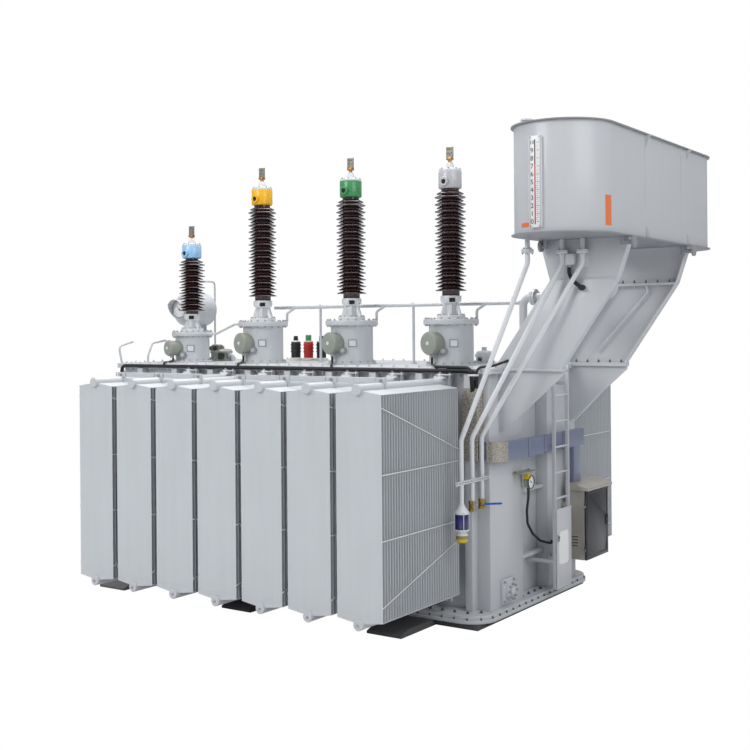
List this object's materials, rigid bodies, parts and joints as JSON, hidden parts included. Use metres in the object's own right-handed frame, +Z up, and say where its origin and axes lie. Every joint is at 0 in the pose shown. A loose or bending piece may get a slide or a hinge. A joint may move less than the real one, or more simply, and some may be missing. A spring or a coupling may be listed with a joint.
{
  "type": "power transformer",
  "caption": "Oil-immersed power transformer with finned radiators, shed bushings on turrets and a raised oil conservator on leaning supports.",
  "frame": {"origin": "on the ground under the middle of the tank, in the underside of the middle skid", "axes": "+X towards the conservator end, -Y towards the front radiators, +Z up"},
  "size_m": [7.194, 5.55, 5.237],
  "materials": {
    "black_rubber": "cable sheath",
    "blue_paint": "gloss light blue",
    "brass": "cast brass",
    "brown_porcelain": "glossy brown glaze",
    "cast_alloy": "painted casting",
    "dark_steel": "dark painted steel",
    "gauge_white": "white scale",
    "green_paint": "gloss phase colour",
    "grey_paint": "semi-gloss grey paint",
    "instrument_grey": "painted instrument case",
    "lever_blue": "dipped handle",
    "navy_glass": "clear body with dark beads",
    "oil_cup": "clear cup with oil",
    "silver_paint": "satin grey",
    "stainless": "brushed",
    "tinned_metal": "tinned",
    "tray_grey": "blue-grey film",
    "white_porcelain": "glossy white glaze",
    "yellow_paint": "gloss phase colour"
  },
  "bodies": {
    "transformer": {"base_flange": "grey_paint", "base_skids": "dark_steel", "breather_cup": "oil_cup", "breather_fittings": "grey_paint", "breather_glass": "navy_glass", "bushing_bases": "grey_paint", "bushing_cap_a": "yellow_paint", "bushing_cap_b": "green_paint", "bushing_cap_c": "silver_paint", "bushing_cap_neutral": "blue_paint", "cabinet_body": "stainless", "cabinet_roof": "stainless", "cable_tray": "tray_grey", "conservator_pipes": "grey_paint", "conservator_plates": "grey_paint", "conservator_shell": "grey_paint", "control_cables": "black_rubber", "ct_boxes": "cast_alloy", "drain_cocks": "brass", "drain_flange": "grey_paint", "drum_gauge": "instrument_grey", "gas_pipe": "grey_paint", "gas_relay": "cast_alloy", "ladder_rails": "grey_paint", "ladder_rungs": "grey_paint", "lv_bushings": "white_porcelain", "oil_level_gauge": "gauge_white", "oil_pipes": "grey_paint", "pipe_bar": "grey_paint", "porcelains": "brown_porcelain", "radiator_headers": "grey_paint", "radiator_pair_1": "grey_paint", "radiator_pair_2": "grey_paint", "radiator_pair_3": "grey_paint", "radiator_pair_4": "grey_paint", "radiator_pair_5": "grey_paint", "radiator_pair_6": "grey_paint", "radiator_pair_7": "grey_paint", "radiator_side_ties": "grey_paint", "radiator_tie_bars": "grey_paint", "radiator_valves": "grey_paint", "support_brackets": "grey_paint", "support_columns": "grey_paint", "support_heads": "grey_paint", "tank_body": "grey_paint", "tank_cover": "grey_paint", "tank_end_boxes": "grey_paint", "tank_flange": "grey_paint", "tank_stiffeners": "grey_paint", "tank_top_flange": "grey_paint", "tap_changer_drum": "grey_paint", "tap_changer_head": "cast_alloy", "terminals": "tinned_metal", "thermometer": "instrument_grey", "thermometer_cable": "black_rubber", "turrets": "grey_paint", "vent_pipes": "grey_paint"},
    "cabinet_leaf": {"cabinet_door": "stainless"},
    "guard_leaf": {"ladder_guard": "grey_paint"},
    "lever": {"valve_lever": "lever_blue"}
  },
  "joints": [
    {"name": "cabinet_door_hinge", "type": "hinge", "parent": "transformer", "child": "cabinet_leaf", "pos_m": [3.051, 0.644, 0.8325], "axis": [0, 0, -1], "range_deg": [0, 105]},
    {"name": "ladder_guard_hinge", "type": "hinge", "parent": "transformer", "child": "guard_leaf", "pos_m": [2.97, 0.416, 0.65], "axis": [0, 0, 1], "range_deg": [0, 95]},
    {"name": "valve_lever_turn", "type": "hinge", "parent": "transformer", "child": "lever", "pos_m": [2.7311, -1.2061, 1.3075], "axis": [-0.7071, 0.7071, 0], "range_deg": [0, 90]}
  ]
}
